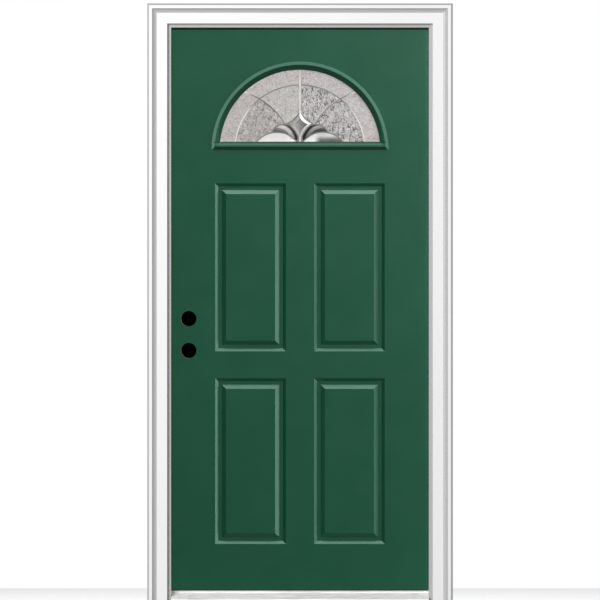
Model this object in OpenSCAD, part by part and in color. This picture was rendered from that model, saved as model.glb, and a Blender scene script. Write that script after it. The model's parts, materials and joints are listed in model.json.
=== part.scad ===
// Four-panel entry door with a half-round leaded lite, hung in its own frame.
// X runs across the doorway, Y from the street side (-) to the room side (+), Z up.
// The origin is on the underside of the sill, on the centreline, in the plane of the wall's outer face.

/* [Door slab] */
// Width of the door slab
slab_w = 922; // [860:1:1120]
// Height of the door slab
slab_h = 1983; // [1960:1:2400]
// Thickness of the door slab
slab_t = 44.5; // [42:0.5:60]
// Thickness of each pressed steel skin
skin_t = 0.6; // [0.4:0.1:1.2]
// Width of the wooden stiles inside the door's two upright edges
stile_w = 38; // [30:1:44]
// Height of the wooden rail inside the door's top edge
top_rail_h = 40; // [20:1:70]
// Height of the wooden rail inside the door's bottom edge
bottom_rail_h = 60; // [30:1:100]

/* [Pressed panels] */
// Width of each panel, over its moulding
panel_w = 248.5; // [160:0.5:270]
// Plain strip between the left and right panels
mullion_w = 99; // [60:1:120]
// Height of the two lower panels
lower_panel_h = 583; // [300:1:590]
// Height of the two upper panels
upper_panel_h = 591; // [300:1:640]
// Height of the lower panels' bottom edge above the door's bottom edge
lower_panel_z = 161; // [110:1:180]
// Plain strip between the lower and upper panels
lock_rail_h = 94; // [60:1:110]
// Depth of the pressed groove
groove_depth = 9; // [4:0.5:12]
// Width of the groove's outer slope
groove_outer_w = 10.5; // [6:0.5:16]
// Width of the groove's flat floor
groove_floor_w = 13; // [6:0.5:18]
// Width of the slope from the floor up to the raised field
groove_inner_w = 14.5; // [8:0.5:24]

/* [Half-round lite] */
// Outer radius of the lite's frame
lite_r = 311; // [290:1:330]
// Height of the lite frame's lower edge above the door's bottom edge
lite_z = 1546; // [1470:1:1600]
// Width of the lite frame's face
lite_frame_w = 29; // [27:0.5:36]
// How far the lite frame stands proud of the skin
lite_proud = 9; // [6:0.5:12]
// Width of the outer slope of the lite frame
lite_bevel_w = 11; // [6:0.5:12]
// How far the lite frame laps over the skin
lite_lap = 8; // [5:0.5:9]
// Thickness of the clear safety panes
pane_t = 3.2; // [3:0.1:4]
// Depth of the air space on each side of the leaded panel
air_w = 6.5; // [5:0.5:7]
// Thickness of the glazing tape between a pane and its frame
tape_t = 1; // [0.5:0.1:2]

/* [Leaded glass] */
// Thickness of the leaded panel over its cames
came_t = 4; // [3:0.1:4.5]
// Face width of the cames
came_w = 4.4; // [3:0.2:6]
// Thickness of each came's front and back flange
came_flange_t = 0.7; // [0.4:0.1:1]
// Width of the came's web between neighbouring glass pieces
came_web_w = 1.4; // [1:0.1:2]
// Radius of the came that runs round under the arch
band_r = 229; // [215:1:240]

/* [Lock bores] */
// Radius of the two bores through the door
bore_r = 27; // [20:0.5:28]
// Distance from the door's edge to the bores' centres
backset = 70; // [66:1:80]
// Height of the lower bore's centre above the door's bottom edge
lower_bore_z = 841; // [800:1:1000]
// Distance between the two bores' centres
bore_pitch = 112; // [100:1:150]
// Radius of the latch bores in the door's edge
latch_r = 12.7; // [11:0.1:14]
// Radius of the strike bores in the jamb, facing the latch bores
strike_r = 11.1; // [9:0.1:12]
// Depth of the strike bores
strike_depth = 16; // [8:1:18]

/* [Frame] */
// Gap between the door's edges and the frame's rebate
door_gap = 3; // [2:0.5:5]
// Thickness of the jambs behind the rebate
jamb_t = 20; // [18:1:30]
// Depth of the jambs, from the wall's outer face to its inner face
jamb_depth = 116; // [114:1:160]
// How far the stop stands into the doorway
stop_d = 12; // [9:0.5:16]
// Space between the stop's shoulder and the door, filled by the seal
seal_gap = 4; // [3:0.5:6]
// Width of the brick mould
mould_w = 70; // [60:1:90]
// Thickness of the brick mould at its outer rim
mould_t = 32; // [26:1:40]
// Thickness of the brick mould's inner flat
mould_flat_t = 21; // [16:1:24]
// Width of the brick mould's inner flat
mould_flat_w = 37; // [30:1:40]
// Width of the brick mould's cove
cove_w = 16; // [10:1:16]
// Width of the bevel on the brick mould's outer corner
mould_bevel = 6; // [3:0.5:6]
// Strip of jamb edge left showing inside the brick mould
reveal = 13; // [8:1:16]

/* [Sill] */
// Height of the top of the sill's cap, under the door
sill_h = 38; // [36:1:50]
// Gap between the cap and the door's bottom edge, filled by the sweep
bottom_gap = 3.5; // [3:0.5:6]
// How far the sill's nose stands out beyond the wall's outer face
sill_nose = 28; // [10:1:31]
// Height of the deck's front edge
deck_front_h = 15; // [12:1:18]
// Height of the deck where it meets the cap
deck_back_h = 29; // [26:1:32]
// Thickness of the metal deck
deck_t = 2; // [1:0.5:3]
// Width of the cap, from front to back
cap_w = 46; // [40:1:46]

/* [Hinges] */
// Height of each hinge
hinge_h = 102; // [80:1:120]
// How far each leaf reaches in from the room side
leaf_reach = 34; // [28:1:38]
// Thickness of each leaf
leaf_t = 2.4; // [2:0.1:3]
// Radius of the knuckles
knuckle_r = 6; // [5:0.5:8]
// Radius of the hinge pins
pin_r = 3; // [2.5:0.1:3.5]
// Distance from the door's top edge to the top hinge
top_hinge_drop = 178; // [120:1:250]
// Distance from the door's bottom edge to the bottom hinge
bottom_hinge_rise = 279; // [150:1:350]

/* [Hidden] */
$fn = 96;
// Working clearances
run = 0.05; // pins and screws in their holes
seat = 0.3; // between the door and what it closes on
slip = 0.5; // between pieces assembled side by side
knuckle_gap = 0.4; // between neighbouring knuckles
over = 1; // how far a cutter passes the face that it cuts

// Colours
green = [0.153, 0.325, 0.247];
white = [0.95, 0.95, 0.95];
wood = [0.76, 0.62, 0.43];
foam = [0.93, 0.88, 0.66];
metal = [0.72, 0.72, 0.71];
bright = [0.83, 0.83, 0.83];
dark = [0.09, 0.09, 0.09];
glass = [0.82, 0.83, 0.82];

// Door slab
slab_y1 = jamb_depth;
slab_y0 = slab_y1 - slab_t;
slab_mid_y = (slab_y0 + slab_y1) / 2;
slab_z0 = sill_h + bottom_gap;
slab_z1 = slab_z0 + slab_h;
core_y0 = slab_y0 + skin_t;
core_y1 = slab_y1 - skin_t;
core_half = slab_w / 2 - stile_w;

// Frame
rebate_x = slab_w / 2 + door_gap;
stop_x = rebate_x - stop_d;
jamb_x = rebate_x + jamb_t;
rebate_z = slab_z1 + door_gap;
stop_z = rebate_z - stop_d;
jamb_z = rebate_z + jamb_t;
shoulder_y = slab_y0 - seal_gap;
mould_x = stop_x + reveal;
mould_z = stop_z + reveal;
mould_out_x = mould_x + mould_w;
mould_out_z = mould_z + mould_w;
cove_r = (pow(cove_w, 2) + pow(mould_t - mould_flat_t, 2)) / (2 * (mould_t - mould_flat_t));
cove_turn = asin(cove_w / cove_r);
cove_steps = 10;

// Seals
kerf_w = 3;
kerf_depth = 10;
kerf_in = 4; // from the stop's edge to the kerf
seal_show = 1.8; // how far the seal's bulb stands out past the stop's edge
seal_w = 11;
seal_t = seal_gap - seat;
pad_h = 50;
pad_w = 24;
pad_t = 1.2;

// Sill
cap_y1 = slab_y1 - slip;
cap_y0 = cap_y1 - cap_w;
cap_lip = 3;
cap_groove = 1.5;
deck_y0 = -sill_nose;
deck_run = cap_y0 - slip - deck_y0;
trough_z = deck_back_h - 12; // underside of the trough that the cap stands in
rib_pitch = 9;
rib_w = 3;
rib_h = 0.9;
rib_margin = 8;
rib_count = floor((deck_run - 2 * rib_margin) / rib_pitch) + 1;
riser_r = 3;
riser_count = 4;
riser_margin = 110;
sweep_base_t = 1.4;
sweep_fin_t = 1.6;
sweep_fins = 4;
sweep_inset = 1;

// Hinges
knuckle_out = 0.8; // between the door's room face and the knuckles
hinge_x = slab_w / 2 + door_gap / 2;
hinge_y = slab_y1 + knuckle_r + knuckle_out;
knuckles = 5;
knuckle_h = hinge_h / knuckles;
hinge_z = [
    slab_z1 - top_hinge_drop - hinge_h / 2,
    (slab_z1 - top_hinge_drop + slab_z0 + bottom_hinge_rise) / 2,
    slab_z0 + bottom_hinge_rise + hinge_h / 2
];
leaf_in = door_gap / 2; // from the pin's axis to a leaf's face
pin_head_r = 5;
pin_head_h = 3;
screw_r = 2.2;
screw_head_r = 4.2;
screw_head_h = 2.2;
screw_len = 18;
screw_rows = [-0.37, -0.13, 0.13, 0.37]; // shares of the hinge's height
screw_steps = [0, 1, 1, 0]; // which of those rows stand a step further from the leaf's inner edge
screw_in = 8; // from the leaf's inner edge to the nearer screws
screw_step = 10;

// Frame screws
frame_screw_r = 2;
frame_screw_head_r = 4;
frame_screw_len = 52;
frame_screw_y = [18, 50];
frame_screw_z = jamb_z - jamb_t / 2;
sill_screw_y = [20, 48];
sill_screw_z = 7;

// Lock side
bore_x = -slab_w / 2 + backset;
bore_z = [slab_z0 + lower_bore_z, slab_z0 + lower_bore_z + bore_pitch];
block_past = 24; // wood of the lock block past the bores, away from the stile
block_w = backset - stile_w + bore_r + block_past;
block_margin = 70; // wood above the upper bore's centre, and below the lower one's

// Panels
panel_x = (mullion_w + panel_w) / 2;
lower_panel_mid = slab_z0 + lower_panel_z + lower_panel_h / 2;
upper_panel_mid = lower_panel_mid + (lower_panel_h + upper_panel_h) / 2 + lock_rail_h;

// Lite
lite_cz = slab_z0 + lite_z;
crest_w = 2;
lip_proud = 3; // height of the lite frame's inner lip over the skin
frame_in = lite_lap + slip;
glass_bite = 8; // how far the lite frame laps over the glass
glass_in = lite_frame_w - glass_bite;
boss_r = 5;
boss_in = (frame_in + glass_in) / 2;
lite_screw_r = 1.8;
lite_screw_head_r = 3.6;
lite_screw_head_h = 2.5;
plug_r = 4;
plug_t = 5;
plug_sunk = 1.6; // below the lite frame's crest
plug_y = slab_y1 + lite_proud - plug_sunk;
arch_screws = 8;
arch_screw_from = 14; // angle of the first screw above the lite's bottom edge
bar_screws = 4;
bar_screw_in = 58; // from the lite frame's corner to the first screw along its bottom bar
spacer_w = 7;
unit_y0 = slab_mid_y - came_t / 2 - air_w - pane_t;
unit_y1 = slab_mid_y + came_t / 2 + air_w + pane_t;
came_y0 = slab_mid_y - came_t / 2;
came_y1 = slab_mid_y + came_t / 2;

// Layout of the leaded glass about the lite's centre: X across, Y up
star_top = [0, 139];
star_side = [-45, 94];
star_foot = [0, 24];
star_upper_dip = 7;
star_lower_dip = 9;
leaf_foot_a = [-152, lite_frame_w];
leaf_foot_b = [-10, lite_frame_w];
leaf_rise = 34;
bud_centre = [-55, 43];
bud_r = 48;
cluster_fill = 53; // height up to which the cluster is taken as one piece
ray_centre = [-273, -40];
ray_r = 256;
star_upper_c = bulge_centre(star_side, star_top, star_upper_dip);
star_upper_r = bulge_r(star_side, star_top, star_upper_dip);
star_lower_c = bulge_centre(star_foot, star_side, star_lower_dip);
star_lower_r = bulge_r(star_foot, star_side, star_lower_dip);
leaf_c = bulge_centre(leaf_foot_b, leaf_foot_a, leaf_rise);
leaf_r = bulge_r(leaf_foot_b, leaf_foot_a, leaf_rise);

// ---------- general shapes ----------

// A box between two corners.
module box(a, b) {
    translate(a)
        cube(b - a);
}

// A 2D outline drawn in X and Z, given thickness from y0 to y1.
module upright(y0, y1) {
    translate([0, y1, 0])
        rotate([90, 0, 0])
            linear_extrude(y1 - y0)
                children();
}

// A 2D outline drawn in Y and Z, run across from x0 to x1.
module across(x0, x1) {
    translate([x0, 0, 0])
        rotate([90, 0, 90])
            linear_extrude(x1 - x0)
                children();
}

// A 2D outline drawn in X and Y, run up from z0 to z1.
module up(z0, z1) {
    translate([0, 0, z0])
        linear_extrude(z1 - z0)
            children();
}

// A round bar along Y.
module bar_y(x, z, r, y0, y1) {
    translate([x, y0, z])
        rotate([-90, 0, 0])
            cylinder(h = y1 - y0, r = r);
}

// A round bar along X.
module bar_x(y, z, r, x0, x1) {
    translate([x0, y, z])
        rotate([0, 90, 0])
            cylinder(h = x1 - x0, r = r);
}

// A rectangular frustum about (x, z), with size a at y0 and size b at y1.
module taper_block(x, z, a, y0, b, y1) {
    polyhedron(
        points = [
            [x - a[0] / 2, y0, z - a[1] / 2], [x + a[0] / 2, y0, z - a[1] / 2],
            [x + a[0] / 2, y0, z + a[1] / 2], [x - a[0] / 2, y0, z + a[1] / 2],
            [x - b[0] / 2, y1, z - b[1] / 2], [x + b[0] / 2, y1, z - b[1] / 2],
            [x + b[0] / 2, y1, z + b[1] / 2], [x - b[0] / 2, y1, z + b[1] / 2]
        ],
        faces = [
            [3, 2, 1, 0], [4, 5, 6, 7], [0, 1, 5, 4], [1, 2, 6, 5], [2, 3, 7, 6], [3, 0, 4, 7]
        ]
    );
}

// ---------- frame ----------

// Section of the right-hand jamb in X and Y: thick at the stop, thin in the rebate, slotted for the seal.
module jamb_section() {
    difference() {
        polygon([
            [stop_x, 0], [jamb_x, 0], [jamb_x, jamb_depth],
            [rebate_x, jamb_depth], [rebate_x, shoulder_y], [stop_x, shoulder_y]
        ]);
        translate([stop_x + kerf_in, shoulder_y - kerf_depth])
            square([kerf_w, kerf_depth + over]);
    }
}

// Section of the head jamb in Y and Z.
module head_section() {
    difference() {
        polygon([
            [0, stop_z], [0, jamb_z], [jamb_depth, jamb_z],
            [jamb_depth, rebate_z], [shoulder_y, rebate_z], [shoulder_y, stop_z]
        ]);
        translate([shoulder_y - kerf_depth, stop_z + kerf_in])
            square([kerf_depth + over, kerf_w]);
    }
}

module side_jamb() {
    difference() {
        up(0, jamb_z)
            jamb_section();
        frame_screw_places()
            screw_hole_x(frame_screw_r + run, frame_screw_head_r + run);
        sill_screw_places()
            screw_hole_x(frame_screw_r + run, frame_screw_head_r + run);
    }
}

module hinge_jamb() {
    color(white)
        difference() {
            side_jamb();
            for (z = hinge_z) {
                leaf_pocket(z);
                leaf_screws(z, run);
            }
        }
}

module lock_jamb() {
    color(white)
        difference() {
            mirror([1, 0, 0])
                side_jamb();
            for (z = bore_z)
                bar_x(slab_mid_y, z, strike_r, -rebate_x - strike_depth, -rebate_x + over);
        }
}

module head_jamb() {
    color(white)
        difference() {
            across(-rebate_x, rebate_x)
                head_section();
            mirrored()
                box([stop_x, -over, stop_z - over], [rebate_x + over, shoulder_y, jamb_z + over]);
            mirrored()
                frame_screw_places()
                    screw_hole_x(frame_screw_r + run, frame_screw_head_r + run);
        }
}

// What is drawn on the right, and its mirror image on the left.
module mirrored() {
    children();
    mirror([1, 0, 0])
        children();
}

// Places of the screws that join the right-hand jamb to the head.
module frame_screw_places() {
    for (y = frame_screw_y)
        translate([jamb_x, y, frame_screw_z])
            children();
}

// Places of the screws that join the right-hand jamb to the sill.
module sill_screw_places() {
    for (y = sill_screw_y)
        translate([jamb_x, y, sill_screw_z])
            children();
}

// A flat-headed screw, driven along -X from the origin, or the hole for it.
module frame_screw(r, head_r) {
    translate([-frame_screw_len, 0, 0])
        rotate([0, 90, 0])
            cylinder(h = frame_screw_len - over, r = r);
    translate([-over - head_r + r, 0, 0])
        rotate([0, 90, 0])
            cylinder(h = head_r - r, r1 = r, r2 = head_r);
}

module screw_hole_x(r, head_r) {
    frame_screw(r, head_r);
    translate([-over - run, 0, 0])
        rotate([0, 90, 0])
            cylinder(h = 2 * over, r = head_r);
}

module frame_corner_screws() {
    color(metal)
        mirrored()
            frame_screw_places()
                frame_screw(frame_screw_r, frame_screw_head_r);
}

module sill_end_screws() {
    color(metal)
        mirrored()
            sill_screw_places()
                frame_screw(frame_screw_r, frame_screw_head_r);
}

// Section of the brick mould: X out from its inner edge, Y out from the wall towards the street.
module mould_section() {
    cove_x0 = mould_flat_w;
    polygon(concat(
        [[0, 0], [0, mould_flat_t]],
        [for (i = [0 : cove_steps])
            let (a = cove_turn * i / cove_steps)
                [cove_x0 + cove_r * sin(a), mould_flat_t + cove_r * (1 - cos(a))]],
        [
            [mould_w - mould_bevel, mould_t],
            [mould_w, mould_t - mould_bevel],
            [mould_w, 0]
        ]
    ));
}

module right_mould() {
    intersection() {
        up(0, mould_out_z)
            translate([mould_x, 0])
                mirror([0, 1])
                    mould_section();
        upright(-mould_t - over, over)
            polygon([
                [mould_x - over, -over], [mould_out_x + over, -over],
                [mould_out_x + over, mould_out_z + over], [mould_x - over, mould_z - over]
            ]);
    }
}

module right_brick_mould() {
    color(white)
        right_mould();
}

module left_brick_mould() {
    color(white)
        mirror([1, 0, 0])
            right_mould();
}

module head_brick_mould() {
    color(white)
        intersection() {
            across(-mould_out_x, mould_out_x)
                translate([0, mould_z])
                    rotate(90)
                        mould_section();
            upright(-mould_t - over, over)
                polygon([
                    [-mould_x + over, mould_z - over], [mould_x - over, mould_z - over],
                    [mould_out_x + over, mould_out_z + over], [-mould_out_x - over, mould_out_z + over]
                ]);
        }
}

// ---------- seals ----------

// Section of the seal: X along the shoulder from the stop's edge, Y away from the shoulder.
module seal_section() {
    polygon([
        [kerf_in + run, 0], [kerf_in + run, -kerf_depth + slip],
        [kerf_in + kerf_w - run, -kerf_depth + slip], [kerf_in + kerf_w - run, 0],
        [seal_w - seal_show - seal_t / 3, 0], [seal_w - seal_show, seal_t / 3],
        [seal_w - seal_show, seal_t * 2 / 3], [seal_w - seal_show - seal_t / 3, seal_t],
        [-seal_show + seal_t / 3, seal_t], [-seal_show, seal_t * 2 / 3],
        [-seal_show, seal_t / 3], [-seal_show + seal_t / 3, 0]
    ]);
}

module side_seal() {
    up(sill_h + seat, stop_z - seal_show - seat)
        translate([stop_x, shoulder_y])
            seal_section();
}

module hinge_side_seal() {
    color(dark)
        side_seal();
}

module lock_side_seal() {
    color(dark)
        mirror([1, 0, 0])
            side_seal();
}

module head_seal() {
    color(dark)
        across(-stop_x + seal_show, stop_x - seal_show)
            translate([shoulder_y, stop_z])
                mirror([1, -1])
                    seal_section();
}

// Foam pads on the rebate beside the sill's cap.
module corner_pads() {
    color(dark)
        mirrored()
            box(
                [rebate_x - pad_t, slab_y0 + slip, sill_h + seat],
                [rebate_x, slab_y0 + slip + pad_w, sill_h + pad_h]
            );
}

// ---------- sill ----------

// The plan that the sill is cut to, so that it passes between the stops and widens in the rebate.
module sill_plan() {
    polygon([
        [-stop_x + slip, deck_y0 - over], [stop_x - slip, deck_y0 - over],
        [stop_x - slip, shoulder_y + slip], [rebate_x - slip, shoulder_y + slip],
        [rebate_x - slip, slab_y1 + over], [-rebate_x + slip, slab_y1 + over],
        [-rebate_x + slip, shoulder_y + slip], [-stop_x + slip, shoulder_y + slip]
    ]);
}

// Height of the deck's surface at a given distance from its nose.
function deck_z(d) = deck_front_h + (deck_back_h - deck_front_h) * d / deck_run;

module sill_deck() {
    color(metal)
        intersection() {
            across(-rebate_x, rebate_x)
                deck_section();
            up(-over, sill_h)
                sill_plan();
        }
}

// Section of the deck in Y and Z: a turned-down nose, a ribbed slope, and a trough for the cap.
module deck_section() {
    polygon(concat(
        [[deck_y0, 0], [deck_y0, deck_z(0)]],
        [for (i = [0 : rib_count - 1])
            let (d = rib_margin + i * rib_pitch)
                each [
                    [deck_y0 + d, deck_z(d)],
                    [deck_y0 + d + rib_w / 4, deck_z(d) + rib_h],
                    [deck_y0 + d + rib_w * 3 / 4, deck_z(d + rib_w) + rib_h],
                    [deck_y0 + d + rib_w, deck_z(d + rib_w)]
                ]],
        [
            [deck_y0 + deck_run, deck_back_h],
            [deck_y0 + deck_run, trough_z + deck_t],
            [slab_y1, trough_z + deck_t],
            [slab_y1, trough_z],
            [deck_y0 + deck_run - deck_t, trough_z],
            [deck_y0 + deck_run - deck_t, deck_z(deck_run - deck_t) - deck_t],
            [deck_y0 + deck_t, deck_z(deck_t) - deck_t],
            [deck_y0 + deck_t, 0]
        ]
    ));
}

module sill_base() {
    color(wood)
        difference() {
            intersection() {
                across(-rebate_x, rebate_x)
                    polygon([
                        [deck_y0 + deck_t, 0],
                        [deck_y0 + deck_t, deck_z(deck_t) - deck_t],
                        [deck_y0 + deck_run - deck_t, deck_z(deck_run - deck_t) - deck_t],
                        [deck_y0 + deck_run - deck_t, trough_z],
                        [slab_y1, trough_z],
                        [slab_y1, 0]
                    ]);
                up(-over, sill_h)
                    sill_plan();
            }
            mirrored()
                sill_screw_places()
                    frame_screw(frame_screw_r + run, frame_screw_head_r);
        }
}

// Section of the adjustable cap in Y and Z, with a drip groove under its front lip.
module cap_section() {
    foot_z = trough_z + deck_t + cap_groove;
    polygon([
        [cap_y0, foot_z],
        [cap_y0, deck_back_h],
        [cap_y0 + cap_groove, deck_back_h + cap_groove],
        [cap_y0 + cap_groove, sill_h - cap_lip - cap_groove],
        [cap_y0, sill_h - cap_lip],
        [cap_y0 + cap_lip / 2, sill_h - cap_lip / 4],
        [cap_y0 + cap_lip, sill_h],
        [cap_y1 - cap_lip, sill_h],
        [cap_y1, sill_h - cap_lip],
        [cap_y1, foot_z]
    ]);
}

module sill_cap() {
    color(metal)
        difference() {
            intersection() {
                across(-rebate_x, rebate_x)
                    cap_section();
                up(-over, sill_h + over)
                    sill_plan();
            }
            for (x = riser_places())
                translate([x, (cap_y0 + cap_y1) / 2, 0])
                    up(0, sill_h + over)
                        circle(riser_r + run);
        }
}

function riser_places() = [
    for (i = [0 : riser_count - 1])
        -slab_w / 2 + riser_margin + i * (slab_w - 2 * riser_margin) / (riser_count - 1)
];

// Screws that carry the cap and set its height.
module sill_cap_risers() {
    color(bright)
        for (x = riser_places())
            translate([x, (cap_y0 + cap_y1) / 2, 0])
                up(trough_z + deck_t, sill_h - slip)
                    circle(riser_r);
}

// ---------- hinges ----------

// One leaf beside the pin's axis, seen on the jamb's side, with the knuckles of the given parity.
module leaf(z, parity) {
    z0 = z - hinge_h / 2;
    difference() {
        union() {
            box(
                [hinge_x + leaf_in, slab_y1 - leaf_reach, z0],
                [hinge_x + leaf_in + leaf_t, hinge_y - knuckle_r - slip, z0 + hinge_h]
            );
            for (i = [parity : 2 : knuckles - 1]) {
                box(
                    [hinge_x + leaf_in, hinge_y - knuckle_r - slip - over, knuckle_z0(z0, i)],
                    [hinge_x + leaf_in + leaf_t, hinge_y, knuckle_z1(z0, i)]
                );
                translate([hinge_x, hinge_y, 0])
                    up(knuckle_z0(z0, i), knuckle_z1(z0, i))
                        circle(knuckle_r);
            }
        }
        translate([hinge_x, hinge_y, z0 - over])
            cylinder(h = hinge_h + 2 * over, r = pin_r + run);
    }
}

function knuckle_z0(z0, i) = z0 + i * knuckle_h + (i > 0 ? knuckle_gap / 2 : 0);
function knuckle_z1(z0, i) = z0 + (i + 1) * knuckle_h - (i < knuckles - 1 ? knuckle_gap / 2 : 0);

// The pocket that the jamb's leaf is let into.
module leaf_pocket(z) {
    box(
        [hinge_x + leaf_in - over, slab_y1 - leaf_reach - run, z - hinge_h / 2 - run],
        [hinge_x + leaf_in + leaf_t, slab_y1 + over, z + hinge_h / 2 + run]
    );
}

// The four screws of the jamb's leaf, grown by a clearance to make their holes.
module leaf_screws(z, grow) {
    for (i = [0 : len(screw_rows) - 1])
        translate([
            hinge_x + leaf_in,
            slab_y1 - leaf_reach + screw_in + screw_steps[i] * screw_step,
            z + screw_rows[i] * hinge_h
        ])
            rotate([0, 90, 0]) {
                cylinder(h = screw_len, r = screw_r + grow);
                cylinder(h = screw_head_h, r1 = screw_head_r + grow, r2 = screw_r + grow);
            }
}

module frame_leaf(z) {
    color(bright)
        difference() {
            leaf(z, 0);
            leaf_screws(z, run);
        }
}

// The door's leaf is the jamb's leaf, mirrored about the pin's axis.
module about_pin() {
    translate([2 * hinge_x, 0, 0])
        mirror([1, 0, 0])
            children();
}

module door_leaf(z) {
    color(bright)
        about_pin()
            difference() {
                leaf(z, 1);
                leaf_screws(z, run);
            }
}

module hinge_pin(z) {
    color(bright)
        translate([hinge_x, hinge_y, z]) {
            cylinder(h = hinge_h + 2 * slip, r = pin_r, center = true);
            translate([0, 0, hinge_h / 2 + slip])
                cylinder(h = pin_head_h, r = pin_head_r);
        }
}

module top_hinge_frame_leaf() {
    frame_leaf(hinge_z[0]);
}

module middle_hinge_frame_leaf() {
    frame_leaf(hinge_z[1]);
}

module bottom_hinge_frame_leaf() {
    frame_leaf(hinge_z[2]);
}

module top_hinge_door_leaf() {
    door_leaf(hinge_z[0]);
}

module middle_hinge_door_leaf() {
    door_leaf(hinge_z[1]);
}

module bottom_hinge_door_leaf() {
    door_leaf(hinge_z[2]);
}

module top_hinge_pin() {
    hinge_pin(hinge_z[0]);
}

module middle_hinge_pin() {
    hinge_pin(hinge_z[1]);
}

module bottom_hinge_pin() {
    hinge_pin(hinge_z[2]);
}

module frame_hinge_screws() {
    color(bright)
        for (z = hinge_z)
            leaf_screws(z, 0);
}

module door_hinge_screws() {
    color(bright)
        about_pin()
            for (z = hinge_z)
                leaf_screws(z, 0);
}

// ---------- door slab ----------

// The four pressed grooves, each round a raised field, below a face at y = 0 that looks towards -Y.
module grooves() {
    for (x = [-panel_x, panel_x]) {
        groove(x, lower_panel_mid, lower_panel_h);
        groove(x, upper_panel_mid, upper_panel_h);
    }
}

module groove(x, z, h) {
    out_step = 2 * groove_outer_w / groove_depth;
    in_step = 2 * groove_inner_w / groove_depth;
    floor_out = 2 * groove_outer_w;
    floor_in = floor_out + 2 * groove_floor_w;
    face_in = floor_in + 2 * groove_inner_w;
    difference() {
        taper_block(
            x, z,
            [panel_w + out_step * over, h + out_step * over], -over,
            [panel_w - floor_out, h - floor_out], groove_depth
        );
        taper_block(
            x, z,
            [panel_w - face_in - in_step * over, h - face_in - in_step * over], -over,
            [panel_w - floor_in + in_step * over, h - floor_in + in_step * over], groove_depth + over
        );
    }
}

// The street face of the slab, pressed, with everything down to a given depth behind it.
module pressed_face(depth) {
    difference() {
        box([-slab_w / 2, 0, slab_z0], [slab_w / 2, depth, slab_z1]);
        grooves();
    }
}

// One skin, with its outer face at y = 0, looking towards -Y.
module skin() {
    difference() {
        pressed_face(groove_depth + skin_t);
        translate([0, skin_t, 0])
            difference() {
                box(
                    [-slab_w / 2 - over, 0, slab_z0 - over],
                    [slab_w / 2 + over, 2 * groove_depth, slab_z1 + over]
                );
                grooves();
            }
        half_round(lite_lap, -over, 2 * groove_depth);
        lock_bores(-over, 2 * groove_depth);
    }
}

module lock_bores(y0, y1) {
    for (z = bore_z)
        bar_y(bore_x, z, bore_r, y0, y1);
}

module latch_bores() {
    for (z = bore_z)
        bar_x(slab_mid_y, z, latch_r, -slab_w / 2 - over, bore_x);
}

// Turns what faces the street round to face the room.
module room_side() {
    translate([0, 2 * slab_mid_y, 0])
        mirror([0, 1, 0])
            children();
}

module outer_skin() {
    color(green)
        translate([0, slab_y0, 0])
            skin();
}

module inner_skin() {
    color(green)
        difference() {
            room_side()
                translate([0, slab_y0, 0])
                    skin();
            about_pin()
                for (z = hinge_z)
                    leaf_pocket(z);
        }
}

module foam_core() {
    color(foam)
        difference() {
            box(
                [-core_half, core_y0, slab_z0 + bottom_rail_h],
                [core_half, core_y1, slab_z1 - top_rail_h]
            );
            translate([0, core_y0, 0])
                grooves();
            room_side()
                translate([0, core_y0, 0])
                    grooves();
            box(
                [-core_half - over, core_y0 - over, bore_z[0] - block_margin],
                [-core_half + block_w, core_y1 + over, bore_z[1] + block_margin]
            );
            half_round(lite_lap, core_y0 - over, core_y1 + over);
        }
}

module hinge_stile() {
    color(wood)
        difference() {
            box([core_half, core_y0, slab_z0], [slab_w / 2, core_y1, slab_z1]);
            about_pin()
                for (z = hinge_z) {
                    leaf_pocket(z);
                    leaf_screws(z, run);
                }
        }
}

module lock_stile() {
    color(wood)
        difference() {
            box([-slab_w / 2, core_y0, slab_z0], [-core_half, core_y1, slab_z1]);
            latch_bores();
        }
}

module lock_block() {
    color(wood)
        difference() {
            box(
                [-core_half, core_y0, bore_z[0] - block_margin],
                [-core_half + block_w, core_y1, bore_z[1] + block_margin]
            );
            lock_bores(core_y0 - over, core_y1 + over);
            latch_bores();
        }
}

module top_rail() {
    color(wood)
        box([-core_half, core_y0, slab_z1 - top_rail_h], [core_half, core_y1, slab_z1]);
}

module bottom_rail() {
    color(wood)
        box([-core_half, core_y0, slab_z0], [core_half, core_y1, slab_z0 + bottom_rail_h]);
}

// A flat vinyl strip under the door, with fins that brush the sill's cap.
module bottom_sweep() {
    fin_space = slab_t - 2 * sweep_inset - sweep_fin_t;
    color(dark) {
        box(
            [-slab_w / 2 + sweep_inset, slab_y0 + sweep_inset, slab_z0 - sweep_base_t],
            [slab_w / 2 - sweep_inset, slab_y1 - sweep_inset, slab_z0]
        );
        for (i = [0 : sweep_fins - 1])
            translate([0, slab_y0 + sweep_inset + i * fin_space / (sweep_fins - 1), 0])
                box(
                    [-slab_w / 2 + sweep_inset, 0, sill_h + seat],
                    [slab_w / 2 - sweep_inset, sweep_fin_t, slab_z0 - sweep_base_t]
                );
    }
}

// ---------- lite ----------

// The half-round outline, drawn about the lite's centre and set in all round by a given amount.
module half_round_outline(inset) {
    intersection() {
        circle(lite_r - inset);
        translate([-lite_r, inset])
            square([2 * lite_r, lite_r]);
    }
}

module half_round(inset, y0, y1) {
    upright(y0, y1)
        translate([0, lite_cz])
            half_round_outline(inset);
}

// A half-round block whose sides slope, set in by a at y0 and by b at y1.
module half_round_taper(a, y0, b, y1) {
    translate([0, 0, lite_cz])
        intersection() {
            translate([0, y0, 0])
                rotate([-90, 0, 0])
                    cylinder(h = y1 - y0, r1 = lite_r - a, r2 = lite_r - b);
            across(-lite_r - over, lite_r + over)
                polygon([[y0, a], [y1, b], [y1, lite_r + over], [y0, lite_r + over]]);
        }
}

// A half-round ring between two insets.
module half_round_ring(a, b, y0, y1) {
    difference() {
        half_round(a, y0, y1);
        half_round(b, y0 - over, y1 + over);
    }
}

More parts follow.
